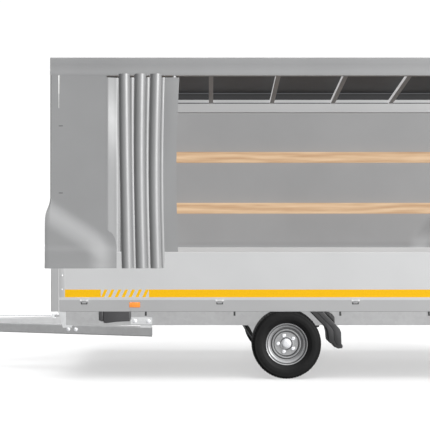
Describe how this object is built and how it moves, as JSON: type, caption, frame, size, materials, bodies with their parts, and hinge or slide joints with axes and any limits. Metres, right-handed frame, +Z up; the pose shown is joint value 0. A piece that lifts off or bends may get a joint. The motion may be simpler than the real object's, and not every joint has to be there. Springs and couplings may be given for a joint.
{
  "type": "curtain-sided flatbed trailer",
  "caption": "Single-axle flatbed trailer with drop sides, a V drawbar, an overrun coupling, a jockey wheel and a gabled cover whose side curtain slides open.",
  "frame": {"origin": "on the ground, under the centre of the whole trailer's box", "axes": "-X is the front with the hitch, +Z is up, -Y is the left side with the sliding curtain"},
  "size_m": [4.539, 1.92, 2.192],
  "materials": {
    "galvanised_steel": "hot-dip galvanised, dull",
    "aluminium": "anodised profile, satin",
    "plywood": "film-faced plywood",
    "lath_wood": "planed spruce",
    "tarpaulin": "coated PVC cloth, semi-gloss",
    "tyre": "tread and sidewall rubber",
    "rim_paint": "silver paint",
    "drum_casting": "cast, zinc dust paint",
    "coupling_casting": "black enamel",
    "zinc_plate": "bright zinc plate",
    "black_plastic": "moulded plastic",
    "amber_lens": "amber lens",
    "red_lens": "red lens",
    "rubber": "moulded rubber"
  },
  "bodies": {
    "root": {"chassis_rails": "galvanised_steel", "cross_members": "galvanised_steel", "deck_edges": "aluminium", "floor_board": "plywood", "corner_posts": "aluminium", "board_front": "aluminium", "hinge_lugs": "aluminium", "axle_tube": "galvanised_steel", "mudguards": "black_plastic", "drawbar_beams": "galvanised_steel", "drawbar_brackets": "galvanised_steel", "overrun_housing": "coupling_casting", "overrun_damper": "zinc_plate", "coupling_bellows": "rubber", "brake_cables": "rubber", "jockey_clamp": "galvanised_steel", "jockey_outer_tube": "zinc_plate", "roof_rails": "aluminium", "roof_bows": "galvanised_steel", "laths": "lath_wood", "roof_cover": "tarpaulin", "tarp_front": "tarpaulin", "tarp_rear": "tarpaulin", "tarp_skirts": "tarpaulin", "curtain_right": "tarpaulin", "curtain_left_front": "tarpaulin", "curtain_folds": "tarpaulin", "wheel_chocks": "black_plastic", "lashing_hooks": "zinc_plate", "side_markers": "amber_lens", "light_bar": "galvanised_steel", "rear_lamps": "red_lens"},
    "left_arm": {"swing_arm_left": "galvanised_steel"},
    "right_arm": {"swing_arm_right": "galvanised_steel"},
    "left_wheel": {"hub_left": "drum_casting", "rim_left": "rim_paint", "tyre_left": "tyre"},
    "right_wheel": {"hub_right": "drum_casting", "rim_right": "rim_paint", "tyre_right": "tyre"},
    "coupling": {"coupling_shaft": "galvanised_steel", "coupling_head": "coupling_casting"},
    "coupling_lever": {"coupling_lever": "coupling_casting"},
    "handbrake": {"handbrake_lever": "galvanised_steel"},
    "brake_rod": {"brake_rod": "zinc_plate"},
    "jockey_crank": {"jockey_crank": "zinc_plate"},
    "jockey_tube": {"jockey_inner_tube": "zinc_plate"},
    "jockey_fork": {"jockey_fork": "galvanised_steel"},
    "jockey_wheel": {"jockey_wheel": "rubber"},
    "left_board": {"board_left": "aluminium"},
    "right_board": {"board_right": "aluminium"},
    "rear_board": {"board_rear": "aluminium"},
    "curtain_lead": {"curtain_lead": "tarpaulin", "curtain_pole": "aluminium"},
    "latch_left_front": {"latch_left_front": "galvanised_steel"},
    "latch_left_rear": {"latch_left_rear": "galvanised_steel"},
    "latch_right_front": {"latch_right_front": "galvanised_steel"},
    "latch_right_rear": {"latch_right_rear": "galvanised_steel"},
    "latch_rear_left": {"latch_rear_left": "galvanised_steel"},
    "latch_rear_right": {"latch_rear_right": "galvanised_steel"}
  },
  "joints": [
    {"name": "left_suspension", "type": "hinge", "parent": "root", "child": "left_arm", "pos_m": [0.5255, -0.62, 0.291], "axis": [0, 1, 0], "range_deg": [-12, 12], "stiffness_Nm_per_rad": 3200, "springref_deg": 5.1, "deforming": ["brake_cables"]},
    {"name": "right_suspension", "type": "hinge", "parent": "root", "child": "right_arm", "pos_m": [0.5255, 0.62, 0.291], "axis": [0, 1, 0], "range_deg": [-12, 12], "stiffness_Nm_per_rad": 3200, "springref_deg": 5.1, "deforming": ["brake_cables"]},
    {"name": "left_wheel_spin", "type": "hinge", "parent": "left_arm", "child": "left_wheel", "pos_m": [0.6755, -0.7575, 0.231], "axis": [0, 1, 0], "continuous": true},
    {"name": "right_wheel_spin", "type": "hinge", "parent": "right_arm", "child": "right_wheel", "pos_m": [0.6755, 0.7575, 0.231], "axis": [0, 1, 0], "continuous": true},
    {"name": "coupling_overrun", "type": "slide", "parent": "root", "child": "coupling", "axis": [1, 0, 0], "range_m": [0, 0.08], "stiffness_N_per_m": 3000, "springref_m": -0.1, "deforming": ["coupling_bellows"]},
    {"name": "coupling_release", "type": "hinge", "parent": "coupling", "child": "coupling_lever", "pos_m": [-2.1745, 0, 0.436], "axis": [0, -1, 0], "range_deg": [0, 60], "stiffness_Nm_per_rad": 6, "springref_deg": -20.05},
    {"name": "handbrake_pull", "type": "hinge", "parent": "root", "child": "handbrake", "pos_m": [-1.7245, 0.06, 0.404], "axis": [0, 1, 0], "range_deg": [0, 80]},
    {"name": "brake_rod_pull", "type": "slide", "parent": "root", "child": "brake_rod", "axis": [-1, 0, 0], "range_m": [0, 0.06]},
    {"name": "jockey_winding", "type": "hinge", "parent": "root", "child": "jockey_crank", "pos_m": [-1.7545, -0.185, 0.735], "axis": [0, 0, 1], "range_deg": [-4330, 9010]},
    {"name": "jockey_height", "type": "slide", "parent": "root", "child": "jockey_tube", "axis": [0, 0, 1], "range_m": [-0.06, 0.125]},
    {"name": "jockey_swivel", "type": "hinge", "parent": "jockey_tube", "child": "jockey_fork", "pos_m": [-1.7545, -0.185, 0.22], "axis": [0, 0, 1], "continuous": true},
    {"name": "jockey_roll", "type": "hinge", "parent": "jockey_fork", "child": "jockey_wheel", "pos_m": [-1.7245, -0.185, 0.1], "axis": [0, 1, 0], "continuous": true},
    {"name": "left_board_drop", "type": "hinge", "parent": "root", "child": "left_board", "pos_m": [0.6755, -0.911, 0.524], "axis": [1, 0, 0], "range_deg": [0, 180], "deforming": ["tarp_skirts"]},
    {"name": "right_board_drop", "type": "hinge", "parent": "root", "child": "right_board", "pos_m": [0.6755, 0.911, 0.524], "axis": [-1, 0, 0], "range_deg": [0, 180]},
    {"name": "rear_board_drop", "type": "hinge", "parent": "root", "child": "rear_board", "pos_m": [2.2415, 0, 0.524], "axis": [0, 1, 0], "range_deg": [0, 180]},
    {"name": "curtain_slide", "type": "slide", "parent": "root", "child": "curtain_lead", "axis": [1, 0, 0], "range_m": [0, 2.19], "deforming": ["curtain_folds"]},
    {"name": "latch_left_front_turn", "type": "hinge", "parent": "root", "child": "latch_left_front", "pos_m": [-0.8525, -0.909, 0.765], "axis": [0, 1, 0], "range_deg": [0, 90]},
    {"name": "latch_left_rear_turn", "type": "hinge", "parent": "root", "child": "latch_left_rear", "pos_m": [2.2035, -0.909, 0.765], "axis": [0, -1, 0], "range_deg": [0, 90]},
    {"name": "latch_right_front_turn", "type": "hinge", "parent": "root", "child": "latch_right_front", "pos_m": [-0.8525, 0.909, 0.765], "axis": [0, 1, 0], "range_deg": [0, 90]},
    {"name": "latch_right_rear_turn", "type": "hinge", "parent": "root", "child": "latch_right_rear", "pos_m": [2.2035, 0.909, 0.765], "axis": [0, -1, 0], "range_deg": [0, 90]},
    {"name": "latch_rear_left_turn", "type": "hinge", "parent": "root", "child": "latch_rear_left", "pos_m": [2.2395, -0.873, 0.765], "axis": [-1, 0, 0], "range_deg": [0, 90]},
    {"name": "latch_rear_right_turn", "type": "hinge", "parent": "root", "child": "latch_rear_right", "pos_m": [2.2395, 0.873, 0.765], "axis": [1, 0, 0], "range_deg": [0, 90]}
  ],
  "couplings": [
    {"joint": "brake_rod_pull", "follows": "handbrake_pull", "m_per_rad": 0.041},
    {"joint": "jockey_winding", "follows": "jockey_height", "rad_per_m": 1256.6}
  ]
}
